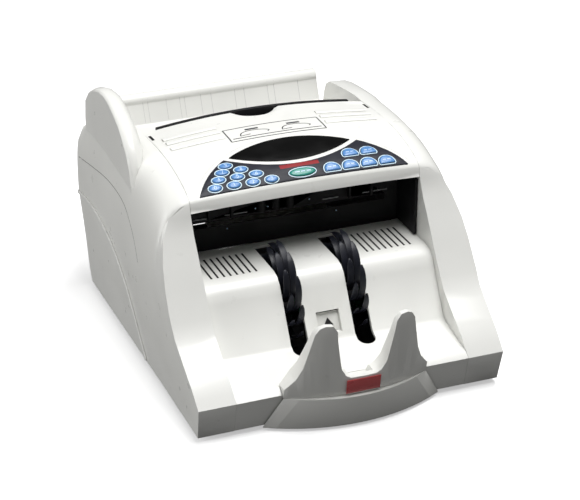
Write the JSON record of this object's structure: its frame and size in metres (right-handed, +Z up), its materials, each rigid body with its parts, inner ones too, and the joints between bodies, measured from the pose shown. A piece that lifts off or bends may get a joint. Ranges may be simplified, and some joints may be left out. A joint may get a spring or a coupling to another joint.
{
  "type": "banknote counting machine",
  "caption": "Desktop note counter: rear hopper with feed rollers, lifting keypad hood, stacker wheels with curved vanes and a forked front stop.",
  "frame": {"origin": "on the table, under the middle of the part's box, midway between the seams of the hood", "axes": "+X to the operator's right, +Y to the rear, +Z up"},
  "size_m": [0.298, 0.4003, 0.2275],
  "materials": {
    "case_white": "smooth satin moulding, warm white",
    "badge_red": "gloss blank badge",
    "black_plastic": "fine matt texture",
    "overlay_navy": "satin printed film",
    "window_black": "gloss tinted window",
    "vane_rubber": "soft moulded rubber",
    "black_rubber": "matt rubber",
    "grey_plastic": "moulded acetal",
    "sheet_steel": "dark painted sheet",
    "bright_steel": "turned and plated",
    "board_green": "lacquered circuit board",
    "supply_steel": "folded metal can",
    "key_blue": "translucent light blue cap",
    "key_green": "green cap"
  },
  "bodies": {
    "chassis": {"base_pan": "sheet_steel", "rubber_feet": "black_rubber", "side_frame_left": "sheet_steel", "side_frame_right": "sheet_steel", "tie_rods": "bright_steel", "side_cover_left": "case_white", "side_cover_right": "case_white", "rear_cover": "case_white", "hopper_fin": "case_white", "hopper_floor": "case_white", "back_plate": "case_white", "stacker_plate": "case_white", "fork_plate": "case_white", "front_skirt": "case_white", "front_badge": "badge_red", "guide_wall": "black_plastic", "sensor_lens": "window_black", "shaft_bearings": "bright_steel", "main_motor": "sheet_steel", "stacker_motor": "sheet_steel", "power_supply": "supply_steel", "main_board": "board_green", "power_inlet": "black_plastic", "cover_screws": "bright_steel", "drive_belts": "black_rubber"},
    "hood": {"hood_shell": "case_white", "hood_hinges": "bright_steel", "throat_plate": "black_plastic", "keypad_overlay": "overlay_navy", "display_window": "window_black", "display_board": "board_green"},
    "gap_knob": {"gap_knob": "black_plastic"},
    "stacker_rotor": {"stacker_shaft": "bright_steel", "stacker_hubs": "grey_plastic", "stacker_vanes": "vane_rubber", "stacker_pulley": "grey_plastic"},
    "feed_rotor": {"feed_shaft": "bright_steel", "feed_rollers": "black_rubber"},
    "pickup_rotor": {"pickup_shaft": "bright_steel", "pickup_rollers": "black_rubber"},
    "main_motor_rotor": {"main_motor_pulley": "bright_steel"},
    "stacker_motor_rotor": {"stacker_motor_pulley": "bright_steel"},
    "power_rocker": {"power_rocker": "black_plastic"},
    "key_digit_0": {"key_digit_0": "key_blue"},
    "key_digit_1": {"key_digit_1": "key_blue"},
    "key_digit_2": {"key_digit_2": "key_blue"},
    "key_digit_3": {"key_digit_3": "key_blue"},
    "key_digit_4": {"key_digit_4": "key_blue"},
    "key_digit_5": {"key_digit_5": "key_blue"},
    "key_digit_6": {"key_digit_6": "key_blue"},
    "key_digit_7": {"key_digit_7": "key_blue"},
    "key_digit_8": {"key_digit_8": "key_blue"},
    "key_digit_9": {"key_digit_9": "key_blue"},
    "key_restart": {"key_restart": "key_green"},
    "key_function_1": {"key_function_1": "key_blue"},
    "key_function_2": {"key_function_2": "key_blue"},
    "key_function_3": {"key_function_3": "key_blue"},
    "key_function_4": {"key_function_4": "key_blue"},
    "key_function_5": {"key_function_5": "key_blue"},
    "key_function_6": {"key_function_6": "key_blue"}
  },
  "joints": [
    {"name": "hood_hinge", "type": "hinge", "parent": "chassis", "child": "hood", "pos_m": [0, 0.07115, 0.178], "axis": [-1, 0, 0], "range_deg": [0, 55]},
    {"name": "gap_knob_turn", "type": "hinge", "parent": "hood", "child": "gap_knob", "pos_m": [0, 0.06815, 0.187], "axis": [0, 0, 1], "range_deg": [-150, 150]},
    {"name": "stacker_spin", "type": "hinge", "parent": "chassis", "child": "stacker_rotor", "pos_m": [0, -0.06985, 0.075], "axis": [1, 0, 0], "continuous": true},
    {"name": "feed_spin", "type": "hinge", "parent": "chassis", "child": "feed_rotor", "pos_m": [0, 0.08715, 0.128], "axis": [1, 0, 0], "continuous": true},
    {"name": "pickup_spin", "type": "hinge", "parent": "chassis", "child": "pickup_rotor", "pos_m": [0, 0.13115, 0.132], "axis": [1, 0, 0], "continuous": true},
    {"name": "main_motor_spin", "type": "hinge", "parent": "chassis", "child": "main_motor_rotor", "pos_m": [0, 0.02115, 0.05], "axis": [1, 0, 0], "continuous": true},
    {"name": "stacker_motor_spin", "type": "hinge", "parent": "chassis", "child": "stacker_motor_rotor", "pos_m": [0, -0.03685, 0.042], "axis": [1, 0, 0], "continuous": true},
    {"name": "power_rocker_tilt", "type": "hinge", "parent": "chassis", "child": "power_rocker", "pos_m": [-0.03, 0.15515, 0.036], "axis": [1, 0, 0], "range_deg": [-8, 8]},
    {"name": "key_digit_0_press", "type": "slide", "parent": "hood", "child": "key_digit_0", "axis": [0, 0.4407, -0.8976], "range_m": [0, 0.0006]},
    {"name": "key_digit_1_press", "type": "slide", "parent": "hood", "child": "key_digit_1", "axis": [0, 0.4623, -0.8867], "range_m": [0, 0.0006]},
    {"name": "key_digit_2_press", "type": "slide", "parent": "hood", "child": "key_digit_2", "axis": [0, 0.4812, -0.8766], "range_m": [0, 0.0006]},
    {"name": "key_digit_3_press", "type": "slide", "parent": "hood", "child": "key_digit_3", "axis": [0, 0.4975, -0.8675], "range_m": [0, 0.0006]},
    {"name": "key_digit_4_press", "type": "slide", "parent": "hood", "child": "key_digit_4", "axis": [0, 0.3323, -0.9432], "range_m": [0, 0.0006]},
    {"name": "key_digit_5_press", "type": "slide", "parent": "hood", "child": "key_digit_5", "axis": [0, 0.3473, -0.9378], "range_m": [0, 0.0006]},
    {"name": "key_digit_6_press", "type": "slide", "parent": "hood", "child": "key_digit_6", "axis": [0, 0.3596, -0.9331], "range_m": [0, 0.0006]},
    {"name": "key_digit_7_press", "type": "slide", "parent": "hood", "child": "key_digit_7", "axis": [0, 0.2709, -0.9626], "range_m": [0, 0.0006]},
    {"name": "key_digit_8_press", "type": "slide", "parent": "hood", "child": "key_digit_8", "axis": [0, 0.2827, -0.9592], "range_m": [0, 0.0006]},
    {"name": "key_digit_9_press", "type": "slide", "parent": "hood", "child": "key_digit_9", "axis": [0, 0.2269, -0.9739], "range_m": [0, 0.0006]},
    {"name": "key_restart_press", "type": "slide", "parent": "hood", "child": "key_restart", "axis": [0, 0.4584, -0.8887], "range_m": [0, 0.0006]},
    {"name": "key_function_1_press", "type": "slide", "parent": "hood", "child": "key_function_1", "axis": [0, 0.4402, -0.8979], "range_m": [0, 0.0006]},
    {"name": "key_function_2_press", "type": "slide", "parent": "hood", "child": "key_function_2", "axis": [0, 0.4341, -0.9009], "range_m": [0, 0.0006]},
    {"name": "key_function_3_press", "type": "slide", "parent": "hood", "child": "key_function_3", "axis": [0, 0.4249, -0.9052], "range_m": [0, 0.0006]},
    {"name": "key_function_4_press", "type": "slide", "parent": "hood", "child": "key_function_4", "axis": [0, 0.4125, -0.911], "range_m": [0, 0.0006]},
    {"name": "key_function_5_press", "type": "slide", "parent": "hood", "child": "key_function_5", "axis": [0, 0.283, -0.9591], "range_m": [0, 0.0006]},
    {"name": "key_function_6_press", "type": "slide", "parent": "hood", "child": "key_function_6", "axis": [0, 0.2743, -0.9617], "range_m": [0, 0.0006]}
  ],
  "couplings": [
    {"joint": "pickup_spin", "follows": "feed_spin", "ratio": 1},
    {"joint": "main_motor_spin", "follows": "feed_spin", "ratio": 1.75},
    {"joint": "stacker_motor_spin", "follows": "stacker_spin", "ratio": 1.5}
  ]
}
